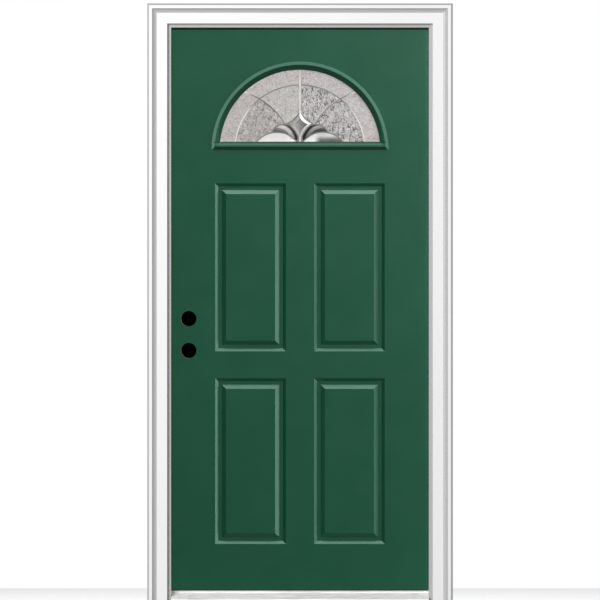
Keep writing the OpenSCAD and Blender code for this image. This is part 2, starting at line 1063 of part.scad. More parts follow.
// The lite frame's street half, up to its mating plane in the middle of the door.
module lite_frame_half() {
    slope_w = lite_frame_w - lite_bevel_w - crest_w;
    slope_step = slope_w / (lite_proud - lip_proud);
    difference() {
        union() {
            half_round_taper(lite_bevel_w, slab_y0 - lite_proud, 0, slab_y0);
            half_round(frame_in, slab_y0 - over, unit_y0 - tape_t);
            for (p = lite_screw_places())
                bar_y(p[0], p[1], boss_r, unit_y0 - tape_t - over, slab_mid_y - run);
        }
        half_round_taper(
            lite_bevel_w + crest_w - slope_step * over, slab_y0 - lite_proud - over,
            lite_frame_w, slab_y0 - lip_proud
        );
        half_round(lite_frame_w, slab_y0 - lite_proud, slab_mid_y);
    }
}

// Centres of the lite's screws: evenly round the arch, then along the bottom.
function lite_screw_places() = concat(
    [for (i = [0 : arch_screws - 1])
        let (a = arch_screw_from + i * (180 - 2 * arch_screw_from) / (arch_screws - 1))
            [(lite_r - boss_in) * cos(a), lite_cz + (lite_r - boss_in) * sin(a)]],
    [for (i = [0 : bar_screws - 1])
        [(lite_r - bar_screw_in) * (2 * i / (bar_screws - 1) - 1), lite_cz + boss_in]]
);

module outer_lite_frame() {
    color(green)
        difference() {
            lite_frame_half();
            for (p = lite_screw_places())
                bar_y(p[0], p[1], lite_screw_r + run, slab_y0, slab_mid_y + over);
        }
}

module inner_lite_frame() {
    color(green)
        difference() {
            room_side()
                lite_frame_half();
            for (p = lite_screw_places()) {
                bar_y(p[0], p[1], lite_screw_r + run, slab_mid_y - over, slab_y1 + lite_proud);
                bar_y(p[0], p[1], plug_r, slab_y1 - lite_screw_head_h, slab_y1 + lite_proud + over);
            }
        }
}

module lite_screws() {
    color(metal)
        for (p = lite_screw_places()) {
            bar_y(p[0], p[1], lite_screw_r, slab_y0 + slip, slab_y1 - lite_screw_head_h + over);
            bar_y(p[0], p[1], lite_screw_head_r, slab_y1 - lite_screw_head_h, slab_y1);
        }
}

module lite_screw_plugs() {
    color(green)
        for (p = lite_screw_places())
            bar_y(p[0], p[1], plug_r - run, plug_y - plug_t, plug_y);
}

module outer_glazing_tape() {
    color(dark)
        half_round_ring(glass_in, lite_frame_w, unit_y0 - tape_t, unit_y0);
}

module inner_glazing_tape() {
    color(dark)
        half_round_ring(glass_in, lite_frame_w, unit_y1, unit_y1 + tape_t);
}

module outer_pane() {
    color(glass, 0.35)
        half_round(glass_in, unit_y0, unit_y0 + pane_t);
}

module inner_pane() {
    color(glass, 0.35)
        half_round(glass_in, unit_y1 - pane_t, unit_y1);
}

module outer_spacer() {
    color(metal)
        half_round_ring(glass_in, glass_in + spacer_w, unit_y0 + pane_t, came_y0);
}

module inner_spacer() {
    color(metal)
        half_round_ring(glass_in, glass_in + spacer_w, came_y1, unit_y1 - pane_t);
}

// ---------- leaded glass, drawn about the lite's centre ----------

// Radius of the arc from a to b that bulges by a given amount.
function bulge_r(a, b, rise) = (pow(norm(b - a) / 2, 2) + rise * rise) / (2 * rise);

// Centre of that arc, which bulges to the right of the way from a to b.
function bulge_centre(a, b, rise) =
    let (along = (b - a) / norm(b - a), left = [-along[1], along[0]])
        (a + b) / 2 + left * (bulge_r(a, b, rise) - rise);

// A disc about a point, grown or shrunk by a given amount.
module disc_at(c, r, grow) {
    translate(c)
        circle(r + grow);
}

// A strip of a given width along a circle.
module strip_at(c, r, w) {
    difference() {
        disc_at(c, r, w / 2);
        disc_at(c, r, -w / 2);
    }
}

module star_outline() {
    difference() {
        polygon([star_top, star_side, star_foot, [-star_side[0], star_side[1]]]);
        mirrored() {
            disc_at(star_upper_c, star_upper_r, 0);
            disc_at(star_lower_c, star_lower_r, 0);
        }
    }
}

module leaf_outline() {
    disc_at(leaf_c, leaf_r, 0);
}

module bud_outline() {
    difference() {
        disc_at(bud_centre, bud_r, 0);
        leaf_outline();
        star_outline();
        translate([0, -lite_r])
            square(2 * lite_r);
    }
}

// The bevelled cluster in the middle, with the small gaps at its foot filled.
module cluster_outline() {
    star_outline();
    mirrored() {
        leaf_outline();
        disc_at(bud_centre, bud_r, 0);
    }
    translate([bud_centre[0], 0])
        square([-2 * bud_centre[0], cluster_fill]);
}

// The lines that the cames follow, as strips of a given width.
module came_lines(w) {
    strip_at([0, 0], band_r, w);
    translate([-w / 2, star_top[1]])
        square([w, lite_r]);
    mirrored() {
        difference() {
            strip_at(ray_centre, ray_r, w);
            cluster_outline();
        }
        strip_at(leaf_c, leaf_r, w);
        difference() {
            strip_at(bud_centre, bud_r, w);
            leaf_outline();
            star_outline();
        }
        intersection() {
            strip_at(star_upper_c, star_upper_r, w);
            translate(star_side)
                square([-star_side[0], star_top[1] - star_side[1] + w / 2]);
        }
        intersection() {
            strip_at(star_lower_c, star_lower_r, w);
            translate([star_side[0] - w / 2, 0])
                square([-star_side[0] + w / 2, star_side[1]]);
        }
    }
}

module came_layer(w, y0, y1) {
    upright(y0, y1)
        translate([0, lite_cz])
            intersection() {
                half_round_outline(glass_in + over);
                came_lines(w);
            }
}

module caming() {
    color(bright) {
        half_round_ring(glass_in, glass_in + spacer_w / 2, came_y0, came_y1);
        came_layer(came_w, came_y0, came_y0 + came_flange_t);
        came_layer(came_web_w, came_y0, came_y1);
        came_layer(came_w, came_y1 - came_flange_t, came_y1);
    }
}

// One piece of glass, cut back from the webs of the cames round it.
module glass_piece() {
    color(glass, 0.6)
        upright(came_y0 + came_flange_t + run, came_y1 - came_flange_t - run)
            translate([0, lite_cz])
                difference() {
                    intersection() {
                        half_round_outline(glass_in + spacer_w / 2 + run);
                        children();
                    }
                    came_lines(came_web_w + 2 * run);
                }
}

module left_half() {
    translate([-lite_r, 0])
        square(lite_r);
}

// Outer band, beyond the ray.
module side_band() {
    difference() {
        disc_at(ray_centre, ray_r, 0);
        circle(band_r);
    }
}

// Outer band, between the ray and the centreline.
module upper_band() {
    difference() {
        left_half();
        circle(band_r);
        disc_at(ray_centre, ray_r, 0);
    }
}

// Inner fan, beyond the ray.
module side_fan() {
    difference() {
        intersection() {
            circle(band_r);
            disc_at(ray_centre, ray_r, 0);
        }
        cluster_outline();
    }
}

// Inner fan, between the ray and the centreline.
module upper_fan() {
    difference() {
        intersection() {
            circle(band_r);
            left_half();
        }
        disc_at(ray_centre, ray_r, 0);
        cluster_outline();
    }
}

module flipped() {
    mirror([1, 0, 0])
        children();
}

module star_bevel() {
    glass_piece()
        star_outline();
}

module left_bud_bevel() {
    glass_piece()
        bud_outline();
}

module right_bud_bevel() {
    glass_piece()
        flipped()
            bud_outline();
}

module left_leaf_bevel() {
    glass_piece()
        leaf_outline();
}

module right_leaf_bevel() {
    glass_piece()
        flipped()
            leaf_outline();
}

module left_band_glass() {
    glass_piece()
        side_band();
}

module right_band_glass() {
    glass_piece()
        flipped()
            side_band();
}

module upper_left_band_glass() {
    glass_piece()
        upper_band();
}

module upper_right_band_glass() {
    glass_piece()
        flipped()
            upper_band();
}

module left_fan_glass() {
    glass_piece()
        side_fan();
}

module right_fan_glass() {
    glass_piece()
        flipped()
            side_fan();
}

module upper_left_fan_glass() {
    glass_piece()
        upper_fan();
}

module upper_right_fan_glass() {
    glass_piece()
        flipped()
            upper_fan();
}

hinge_jamb();
lock_jamb();
head_jamb();
left_brick_mould();
right_brick_mould();
head_brick_mould();
hinge_side_seal();
lock_side_seal();
head_seal();
corner_pads();
sill_base();
sill_deck();
sill_cap();
sill_cap_risers();
frame_corner_screws();
sill_end_screws();
top_hinge_frame_leaf();
middle_hinge_frame_leaf();
bottom_hinge_frame_leaf();
top_hinge_door_leaf();
middle_hinge_door_leaf();
bottom_hinge_door_leaf();
top_hinge_pin();
middle_hinge_pin();
bottom_hinge_pin();
frame_hinge_screws();
door_hinge_screws();
outer_skin();
inner_skin();
foam_core();
hinge_stile();
lock_stile();
top_rail();
bottom_rail();
lock_block();
bottom_sweep();
outer_lite_frame();
inner_lite_frame();
outer_glazing_tape();
inner_glazing_tape();
lite_screws();
lite_screw_plugs();
outer_pane();
inner_pane();
outer_spacer();
inner_spacer();
caming();
star_bevel();
left_bud_bevel();
right_bud_bevel();
left_leaf_bevel();
right_leaf_bevel();
left_band_glass();
upper_left_band_glass();
upper_right_band_glass();
right_band_glass();
left_fan_glass();
upper_left_fan_glass();
upper_right_fan_glass();
right_fan_glass();
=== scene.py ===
"""Looks of the panelled front door: the pieces' finishes, cut glass, the head seal, the studio.

Lengths are in metres. The street side, which the camera faces, is towards -y.
"""

import json
import math

import bmesh
import bpy
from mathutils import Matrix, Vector


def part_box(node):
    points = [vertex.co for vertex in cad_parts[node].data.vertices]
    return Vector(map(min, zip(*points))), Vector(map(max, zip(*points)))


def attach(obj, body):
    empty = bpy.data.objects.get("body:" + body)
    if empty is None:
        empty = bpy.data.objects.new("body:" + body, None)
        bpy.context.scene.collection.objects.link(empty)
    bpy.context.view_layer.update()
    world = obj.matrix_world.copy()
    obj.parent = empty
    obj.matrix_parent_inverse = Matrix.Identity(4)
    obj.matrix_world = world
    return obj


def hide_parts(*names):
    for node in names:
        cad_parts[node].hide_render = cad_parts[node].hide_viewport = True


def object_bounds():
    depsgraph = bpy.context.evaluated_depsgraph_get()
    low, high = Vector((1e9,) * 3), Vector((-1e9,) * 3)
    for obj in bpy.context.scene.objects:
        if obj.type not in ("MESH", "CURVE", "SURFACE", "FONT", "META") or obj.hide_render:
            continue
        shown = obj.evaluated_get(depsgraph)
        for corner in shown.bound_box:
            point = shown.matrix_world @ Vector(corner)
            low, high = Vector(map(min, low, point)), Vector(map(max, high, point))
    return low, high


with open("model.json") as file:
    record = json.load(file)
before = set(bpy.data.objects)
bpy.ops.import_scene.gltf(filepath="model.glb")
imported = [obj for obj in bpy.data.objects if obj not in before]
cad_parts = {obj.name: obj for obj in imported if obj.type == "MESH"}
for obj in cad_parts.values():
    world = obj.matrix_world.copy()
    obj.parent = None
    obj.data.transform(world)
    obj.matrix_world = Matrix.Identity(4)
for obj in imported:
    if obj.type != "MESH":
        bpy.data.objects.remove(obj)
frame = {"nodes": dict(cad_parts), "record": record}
cad_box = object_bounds()
nodes = frame["nodes"]
record = frame["record"]
scene = bpy.context.scene

MM = 0.001


# ---------- colours, as linear values with alpha 1 ----------

def linear(r, g, b):
    """A screen colour, from 0 to 255, as a linear colour."""
    def one(v):
        v /= 255
        return v / 12.92 if v <= 0.04045 else ((v + 0.055) / 1.055) ** 2.4
    return (one(r), one(g), one(b), 1)


def tint(colour, factor):
    """A colour made darker or lighter."""
    return tuple(min(1, c * factor) for c in colour[:3]) + (1,)


def neutral(value):
    """The grey of a linear value."""
    return (value, value, value, 1)


PURE_WHITE = neutral(1)
WHITE = linear(247, 247, 247)
GREEN = linear(8, 75, 50)
GREEN_GLOSS = (0.66, 1, 0.86, 1)
# the lite frame's painted light: a painted highlight on its outer bevel, a painted highlight line
# on its lower bar, and painted shade
GREEN_PAINTED_HIGHLIGHT = linear(70, 113, 95)
GREEN_PAINTED_HIGHLIGHT_LINE = linear(62, 101, 84)
GREEN_PAINTED_SHADE = linear(12, 51, 34)
RAW_WOOD = linear(206, 172, 124)
FOAM = linear(232, 219, 170)
ALUMINIUM = linear(206, 206, 204)
MILL_ALUMINIUM = linear(240, 240, 238)
STEEL = linear(200, 198, 194)
# the cames' dull colour, and their painted highlight
CAME = linear(128, 124, 117)
CAME_PAINTED_HIGHLIGHT = linear(216, 213, 208)
RUBBER = linear(26, 25, 24)
PANE = (0.985, 0.99, 0.985, 1)
PANE_SHADOW = (0.94, 0.95, 0.94, 1)
TEXTURED_SHADOW = (0.7, 0.7, 0.69, 1)
GRIT_DARK = (0.38, 0.38, 0.385, 1)
GRIT_LIGHT = (0.6, 0.6, 0.595, 1)
CUT_GLASS = (0.7, 0.69, 0.68, 1)


# ---------- material helpers ----------

PAINT_IOR = 1.62
PANE_IOR = 1.45
CUT_GLASS_IOR = 1.5


class Shader:
    """A material with a Principled shader, and short ways to add the nodes that feed it."""

    def __init__(self, name, colour, roughness, metallic=0.0):
        self.material = bpy.data.materials.new(name)
        self.material.use_nodes = True
        self.tree = self.material.node_tree
        self.shader = self.tree.nodes["Principled BSDF"]
        self.set("Base Color", colour)
        self.set("Roughness", roughness)
        self.set("Metallic", metallic)
        self.coordinates = self.tree.nodes.new("ShaderNodeTexCoord").outputs
        self.place = self.coordinates["Object"]

    def set(self, socket, value):
        self.shader.inputs[socket].default_value = value

    def link(self, source, socket):
        self.tree.links.new(source, self.shader.inputs[socket])

    def stretched(self, x, y, z):
        """Object coordinates, scaled on each axis."""
        mapping = self.tree.nodes.new("ShaderNodeMapping")
        mapping.inputs["Scale"].default_value = (x, y, z)
        self.tree.links.new(self.place, mapping.inputs["Vector"])
        return mapping.outputs["Vector"]

    def noise(self, scale, detail=4.0, rough=0.5, stretch=(1, 1, 1), distortion=0.0):
        node = self.tree.nodes.new("ShaderNodeTexNoise")
        node.inputs["Scale"].default_value = scale
        node.inputs["Detail"].default_value = detail
        node.inputs["Roughness"].default_value = rough
        node.inputs["Distortion"].default_value = distortion
        self.tree.links.new(self.stretched(*stretch), node.inputs["Vector"])
        return node.outputs["Fac"]

    def cells(self, scale):
        node = self.tree.nodes.new("ShaderNodeTexVoronoi")
        node.inputs["Scale"].default_value = scale
        self.tree.links.new(self.place, node.inputs["Vector"])
        return node.outputs["Distance"]

    def ramp(self, source, stops):
        """Colours along a value: stops is a list of (place, colour)."""
        node = self.tree.nodes.new("ShaderNodeValToRGB")
        first, last = node.color_ramp.elements
        first.position, first.color = stops[0]
        last.position, last.color = stops[-1]
        for place, colour in stops[1:-1]:
            node.color_ramp.elements.new(place).color = colour
        self.tree.links.new(source, node.inputs["Fac"])
        return node.outputs["Color"]

    def tones(self, source, colour, dark, light, start=0.3, end=0.7):
        """The base colour, from one tint of a colour to another along a value."""
        stops = [(start, tint(colour, dark)), (end, tint(colour, light))]
        self.link(self.ramp(source, stops), "Base Color")

    def mixed(self, way, share, under, over):
        """Two colours laid over each other in one of the mixing ways."""
        node = self.tree.nodes.new("ShaderNodeMixRGB")
        node.blend_type = way
        node.inputs["Fac"].default_value = share
        self.tree.links.new(under, node.inputs["Color1"])
        self.tree.links.new(over, node.inputs["Color2"])
        return node.outputs["Color"]

    def fit(self, source, low, high, source_low=0.0, source_high=1.0):
        """A value that lies between two limits, fitted between low and high."""
        node = self.tree.nodes.new("ShaderNodeMapRange")
        node.inputs["From Min"].default_value = source_low
        node.inputs["From Max"].default_value = source_high
        node.inputs["To Min"].default_value = low
        node.inputs["To Max"].default_value = high
        self.tree.links.new(source, node.inputs["Value"])
        return node.outputs["Result"]

    def calc(self, operation, *values):
        """Arithmetic on values, which are outputs of nodes or plain numbers."""
        node = self.tree.nodes.new("ShaderNodeMath")
        node.operation = operation
        for value, socket in zip(values, node.inputs):
            if isinstance(value, (int, float)):
                socket.default_value = value
            else:
                self.tree.links.new(value, socket)
        return node.outputs["Value"]

    def axes(self, vector):
        """The three parts of a vector."""
        node = self.tree.nodes.new("ShaderNodeSeparateXYZ")
        self.tree.links.new(vector, node.inputs["Vector"])
        return node.outputs

    def facing(self):
        """The way that the surface faces on the object."""
        return self.axes(self.coordinates["Normal"])

    def zone(self, value, start, end, soft):
        """1 where a value lies between two others, and 0 more than a soft distance outside them."""
        rising = self.fit(value, 0, 1, start - soft, start)
        return self.calc("MINIMUM", rising, self.fit(value, 1, 0, end, end + soft))

    def lay_over(self, colour, share):
        """Another colour over the base colour, by a share from 0 to 1."""
        under = self.shader.inputs["Base Color"].links[0].from_socket
        node = self.tree.nodes.new("ShaderNodeMixRGB")
        self.tree.links.new(share, node.inputs["Fac"])
        self.tree.links.new(under, node.inputs["Color1"])
        node.inputs["Color2"].default_value = colour
        self.link(node.outputs["Color"], "Base Color")

    def bump(self, height, depth, under=None):
        """Bump of a given depth, on top of another bump if one is given."""
        node = self.tree.nodes.new("ShaderNodeBump")
        node.inputs["Distance"].default_value = depth
        node.inputs["Strength"].default_value = 1.0
        self.tree.links.new(height, node.inputs["Height"])
        if under is not None:
            self.tree.links.new(under, node.inputs["Normal"])
        return node.outputs["Normal"]

    def let_lamps_through(self, colour):
        """For glass: a lamp sees a tinted clear sheet, and so it lights what is behind."""
        nodes_of = self.tree.nodes
        clear = nodes_of.new("ShaderNodeBsdfTransparent")
        clear.inputs["Color"].default_value = colour
        path = nodes_of.new("ShaderNodeLightPath")
        mix = nodes_of.new("ShaderNodeMixShader")
        self.tree.links.new(path.outputs["Is Shadow Ray"], mix.inputs[0])
        self.tree.links.new(self.shader.outputs["BSDF"], mix.inputs[1])
        self.tree.links.new(clear.outputs["BSDF"], mix.inputs[2])
        self.tree.links.new(mix.outputs["Shader"], nodes_of["Material Output"].inputs["Surface"])
        return self.material


# ---------- paint ----------

PEEL_SCALE, ROLL_SCALE = 420, 38        # noise scales of the paint's fine and broad orange peel
TONE_SCALE, SHEEN_SCALE = 2.3, 9        # noise scales of its slow changes of tone and gloss
LITE_FRAME_WIDTH = 29 * MM
LITE_STEP = 3.5 * MM        # how far the step down to the glass goes into the arch's width
BAR_END = 10 * MM           # how far from the lite frame's sides the lower bar's bands end
# bands of painted shade and a painted highlight line along the lite frame's lower bar, in mm above
# its foot
BAR_PAINTED_BANDS = ((0, 11, GREEN_PAINTED_SHADE), (19, 22, GREEN_PAINTED_HIGHLIGHT_LINE), (24, 29, GREEN_PAINTED_SHADE))
# bands of painted shade on the front of the frame's hollows, in mm inwards from the whole object's
# outer edge
MOULDING_PAINTED_SHADE = ((-1, 6), (18, 33))
# the jambs' front strip: painted shadow of the moulding, and painted shade of the recess
JAMB_PAINTED_SHADE = ((60, 95),)


def paint(name, colour, roughness, peel_depth, variation=0.04, gloss=PURE_WHITE):
    """Sprayed or rolled paint: a faint orange peel, and slow changes of tone and gloss.

    gloss is the colour of its reflections.
    """
    m = Shader(name, colour, roughness)
    m.set("IOR", PAINT_IOR)
    m.set("Specular Tint", gloss)
    m.tones(m.noise(TONE_SCALE, 3), colour, 1 - variation, 1 + variation)
    m.link(m.fit(m.noise(SHEEN_SCALE, 5), roughness - 0.05, roughness + 0.05), "Roughness")
    peel = m.bump(m.noise(PEEL_SCALE, 2), peel_depth)
    m.link(m.bump(m.noise(ROLL_SCALE, 3), peel_depth * 2, under=peel), "Normal")
    return m


def green_paint():
    return paint("green_satin_paint", GREEN, 0.34, 0.03 * MM, gloss=GREEN_GLOSS).material


def lite_green():
    """The lite frame's paint, with painted light: a painted highlight on the arch's outer bevel,
    painted shade on the step down to the glass, and bands of painted shade and a painted
    highlight line along the lower bar."""
    m = paint("green_lite_frame", GREEN, 0.3, 0.02 * MM, gloss=GREEN_GLOSS)
    low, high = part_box("outer_lite_frame")
    bar_top = low.z + LITE_FRAME_WIDTH
    glass_reach = high.x - LITE_FRAME_WIDTH + LITE_STEP
    place, facing = m.axes(m.place), m.facing()
    aside = m.calc("ABSOLUTE", place["X"])
    rise = m.calc("MAXIMUM", m.calc("SUBTRACT", place["Z"], bar_top), 0)
    reach = m.calc("SQRT", m.calc("ADD", m.calc("POWER", aside, 2), m.calc("POWER", rise, 2)))
    sideways = m.calc("MULTIPLY", place["X"], facing["X"])
    upwards = m.calc("MULTIPLY", rise, facing["Z"])
    outward = m.calc("DIVIDE", m.calc("ADD", sideways, upwards), reach)
    # painted shade on the arch's step down to the glass
    above_bar = m.zone(place["Z"], bar_top, high.z, 0.5 * MM)
    step_shade = m.zone(reach, 0, glass_reach, 2 * MM)
    m.lay_over(GREEN_PAINTED_SHADE, m.calc("MULTIPLY", above_bar, step_shade))
    # painted highlight on the arch's outer bevel, where it faces outwards
    m.lay_over(GREEN_PAINTED_HIGHLIGHT, m.zone(outward, 0.3, 1, 0.06))
    # painted shade and a painted highlight line, in bands along the lower bar
    on_bar = m.zone(aside, 0, high.x - BAR_END, 1 * MM)
    for start, end, colour in BAR_PAINTED_BANDS:
        band = m.zone(place["Z"], low.z + start * MM, low.z + end * MM, 1 * MM)
        m.lay_over(colour, m.calc("MULTIPLY", on_bar, band))
    return m.material


def white_with_painted_shade(name, tone, hollows):
    """White paint with painted shade: greyer, by a tone from 0 to 1, on the front of a moulding's
    hollows.
    """
    m = paint(name, WHITE, 0.42, 0.04 * MM, 0.01)
    high = cad_box[1]
    place = m.axes(m.place)
    aside = m.calc("SUBTRACT", high.x, m.calc("ABSOLUTE", place["X"]))
    inward = m.calc("MINIMUM", aside, m.calc("SUBTRACT", high.z, place["Z"]))
    front = m.zone(m.facing()["Y"], -1, -0.25, 0.15)
    for start, end in hollows:
        # painted shade over the white, on front-facing surfaces within each band
        shade_share = m.zone(inward, start * MM, end * MM, 1 * MM)
        m.lay_over(tint(WHITE, tone), m.calc("MULTIPLY", front, shade_share))
    return m.material


# ---------- wood, foam, metal and rubber ----------

CAME_REACH = 0.25           # from the middle of the leaded panel to the end of its tones
# the cames' colours, by shares of that reach: their dull grey, with a painted highlight in the
# middle and towards both ends
CAME_PAINTED_TONES = [
    (0, CAME_PAINTED_HIGHLIGHT), (0.012, CAME_PAINTED_HIGHLIGHT), (0.018, CAME), (0.64, CAME), (0.76, CAME_PAINTED_HIGHLIGHT)]


def wood():
    """Sawn softwood with its grain up and down."""
    m = Shader("sawn_wood", RAW_WOOD, 0.72)
    grain = m.noise(26, 8, 0.65, (6, 6, 0.25), 0.6)
    stops = [(0.3, tint(RAW_WOOD, 0.62)), (0.5, RAW_WOOD), (0.72, tint(RAW_WOOD, 1.12))]
    m.link(m.ramp(grain, stops), "Base Color")
    m.link(m.bump(m.noise(90, 6, 0.7, (8, 8, 0.4)), 0.3 * MM), "Normal")
    return m.material


def foam():
    """Foam with fine cells."""
    m = Shader("insulating_foam", FOAM, 0.95)
    m.tones(m.noise(60, 5), FOAM, 0.85, 1.05)
    m.link(m.bump(m.cells(900), 0.4 * MM), "Normal")
    return m.material


def brushed(name, colour, roughness, stretch):
    """Metal with fine lines, long on the axis that is stretched least, and faint stains."""
    m = Shader(name, colour, roughness, 1.0)
    lines = m.noise(30, 6, 0.6, stretch)
    stain = m.noise(7, 4)
    m.tones(m.calc("MULTIPLY", lines, stain), colour, 0.78, 1.08, 0.1, 0.45)
    m.link(m.fit(lines, roughness - 0.08, roughness + 0.12), "Roughness")
    m.link(m.bump(lines, 0.04 * MM), "Normal")
    return m.material


def sill_metal():
    """Mill-finished aluminium under a dull clear coat: pale, with fine lines along the sill."""
    m = Shader("sill_metal", MILL_ALUMINIUM, 0.5, 0.15)
    lines = m.noise(30, 6, 0.6, (0.4, 14, 14))
    m.tones(lines, MILL_ALUMINIUM, 0.7, 1.1, 0.35, 0.6)
    m.link(m.fit(m.noise(7, 4), 0.42, 0.58), "Roughness")
    m.link(m.bump(lines, 0.03 * MM), "Normal")
    return m.material


def came_metal():
    """Soldered came: dull, with a painted highlight on the middle one and towards both ends."""
    m = Shader("came_metal", CAME, 0.35, 0.3)
    aside = m.calc("ABSOLUTE", m.axes(m.place)["X"])
    painted_highlights = m.ramp(m.calc("DIVIDE", aside, CAME_REACH), CAME_PAINTED_TONES)
    dull = m.ramp(m.noise(30, 6, 0.6, (4, 4, 4)), [(0.3, neutral(0.85)), (0.7, PURE_WHITE)])
    m.link(m.mixed("MULTIPLY", 1.0, painted_highlights, dull), "Base Color")
    m.link(m.bump(m.noise(160, 4), 0.1 * MM), "Normal")
    return m.material


def rubber():
    """Dull black rubber."""
    m = Shader("seal_rubber", RUBBER, 0.7)
    m.tones(m.noise(40, 4), RUBBER, 0.7, 1.5)
    m.link(m.bump(m.noise(700, 3), 0.08 * MM), "Normal")
    return m.material


# ---------- glass ----------

# which kind of textured glass each of the leaded panel's flat pieces is
TEXTURED = {
    "left_band_glass": "fine", "right_band_glass": "fine",
    "upper_left_band_glass": "fine", "upper_right_band_glass": "fine",
    "left_fan_glass": "plain", "upper_left_fan_glass": "pale",
    "right_fan_glass": "strong", "upper_right_fan_glass": "strong",
}


def thin_pane():
    """Clear glass that lamps shine through."""
    m = Shader("clear_pane", PANE, 0.0)
    m.set("IOR", PANE_IOR)
    m.set("Transmission Weight", 1.0)
    m.link(m.fit(m.noise(4, 2), 0.0, 0.02), "Roughness")
    return m.let_lamps_through(PANE_SHADOW)


def hammered_glass(name, tone, dark, light, scale, depth, dark_end, light_start, upright=1):
    """Textured glass: grey, with flecks where its dimples bend the light, darker and lighter.

    tone, dark and light are screen colours. dark_end and light_start are the places on the noise
    where the dark flecks end and the light ones start. With upright under 1, flecks are taller.
    """
    dark, tone, light = linear(*dark), linear(*tone), linear(*light)
    m = Shader(name, tone, 0.25)
    m.set("IOR", PANE_IOR)
    m.set("Transmission Weight", 0.2)
    flecks = m.noise(scale, 2.5, 0.6, (1, 1, upright), 1.2)
    grain = m.noise(scale * 2.6, 2, 0.6)
    colours = m.ramp(flecks, [
        (dark_end - 0.12, dark), (dark_end, tone), (light_start, tone), (light_start + 0.1, light)])
    grit = m.ramp(grain, [(0.3, GRIT_DARK), (0.7, GRIT_LIGHT)])
    m.link(m.mixed("OVERLAY", 0.5, colours, grit), "Base Color")
    m.link(m.bump(flecks, depth), "Normal")
    return m.let_lamps_through(TEXTURED_SHADOW)


def textured_kinds():
    """The leaded panel's four kinds of textured glass."""
    return {
        "fine": hammered_glass(
            "fine_textured_glass", (196, 190, 189), (158, 153, 154), (218, 212, 211),
            170, 0.5 * MM, 0.46, 0.56),
        "plain": hammered_glass(
            "textured_glass", (178, 173, 171), (118, 113, 113), (212, 207, 204),
            115, 0.8 * MM, 0.46, 0.55, 0.8),
        "pale": hammered_glass(
            "pale_textured_glass", (190, 187, 184), (142, 139, 138), (218, 215, 212),
            120, 0.8 * MM, 0.43, 0.55, 0.8),
        "strong": hammered_glass(
            "deep_textured_glass", (184, 181, 179), (84, 82, 92), (224, 221, 218),
            115, 1.2 * MM, 0.48, 0.57, 0.7),
    }


def cut_glass():
    """Polished bevels: each facet's painted highlight or painted shade is in the mesh's colour
    attribute, under a clear gloss.
    """
    m = Shader("cut_glass", CUT_GLASS, 0.12)
    m.set("IOR", CUT_GLASS_IOR)
    m.set("Coat Weight", 0.6)
    m.set("Coat Roughness", 0.04)
    tones = m.tree.nodes.new("ShaderNodeAttribute")
    tones.attribute_name = "tone"
    streak = m.noise(60, 3, 0.5, (1, 1, 3))
    streaks = m.ramp(streak, [(0.3, neutral(0.35)), (0.7, neutral(0.65))])
    m.link(m.mixed("OVERLAY", 0.35, tones.outputs["Color"], streaks), "Base Color")
    return m.material


# ---------- give the CAD nodes their finishes ----------

def finish(node, material):
    mesh = nodes[node].data
    mesh.materials.clear()
    mesh.materials.append(material)


def finish_nodes():
    """Each node's material, by its slot. The jambs' paint and the textured glass have their own."""
    finishes = {
        # the moulding gets painted shade on its outer edge and coves, and the jambs get it on their
        # front strip
        "white_paint": white_with_painted_shade("white_moulding_paint", 0.6, MOULDING_PAINTED_SHADE),
        "jamb_paint": white_with_painted_shade("white_jamb_paint", 0.48, JAMB_PAINTED_SHADE),
        "green_paint": green_paint(),
        "green_plastic": lite_green(),
        "raw_wood": wood(),
        "foam": foam(),
        "sill_metal": sill_metal(),
        "hinge_metal": brushed("satin_nickel", STEEL, 0.3, (9, 9, 0.5)),
        "screw_metal": brushed("zinc_plate", STEEL, 0.38, (3, 3, 3)),
        "seal_rubber": rubber(),
        "clear_glass": thin_pane(),
        "came_metal": came_metal(),
        "spacer_metal": brushed("spacer_metal", ALUMINIUM, 0.45, (2, 2, 2)),
    }
    for entry in record["subparts"]:
        slot = "jamb_paint" if entry["node"].endswith("_jamb") else entry["material_slot"]
        if slot in finishes:
            finish(entry["node"], finishes[slot])
    kinds = textured_kinds()
    for node, kind in TEXTURED.items():
        finish(node, kinds[kind])


# ---------- meshes ----------

def new_object(name, verts, faces, closed=False):
    """An object with a mesh of the same name. A closed one's faces are turned outwards."""
    mesh = bpy.data.meshes.new(name)
    mesh.from_pydata(verts, [], faces)
    if closed:
        bm = bmesh.new()
        bm.from_mesh(mesh)
        bmesh.ops.recalc_face_normals(bm, faces=bm.faces)
        bm.to_mesh(mesh)
        bm.free()
    made = bpy.data.objects.new(name, mesh)
    scene.collection.objects.link(made)
    return made


def outline_of(node):
    """A flat CAD node's outline on the street side: its corners in order, anticlockwise, as (x, z).

    The node's lowest and highest y come with it.
    """
    low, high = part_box(node)
    bm = bmesh.new()
    bm.from_mesh(nodes[node].data)
    bmesh.ops.remove_doubles(bm, verts=bm.verts, dist=1e-6)
    front = {f for f in bm.faces
             if f.normal.y < -0.99 and abs(f.calc_center_median().y - low.y) < 1e-5}
    rim = [e for e in bm.edges if sum(f in front for f in e.link_faces) == 1]
    ways = {}
    for e in rim:
        a, b = e.verts
        ways.setdefault(a, []).append(b)
        ways.setdefault(b, []).append(a)
    start = rim[0].verts[0]
    loop, last = [start], None
    while True:
        onward = [v for v in ways[loop[-1]] if v is not last]
        last = loop[-1]
        if onward[0] is start:
            break
        loop.append(onward[0])
    corners = [(v.co.x, v.co.z) for v in loop]
    bm.free()
    area = sum(a[0] * b[1] - b[0] * a[1] for a, b in zip(corners, corners[1:] + corners[:1]))
    return (corners if area > 0 else corners[::-1]), low.y, high.y


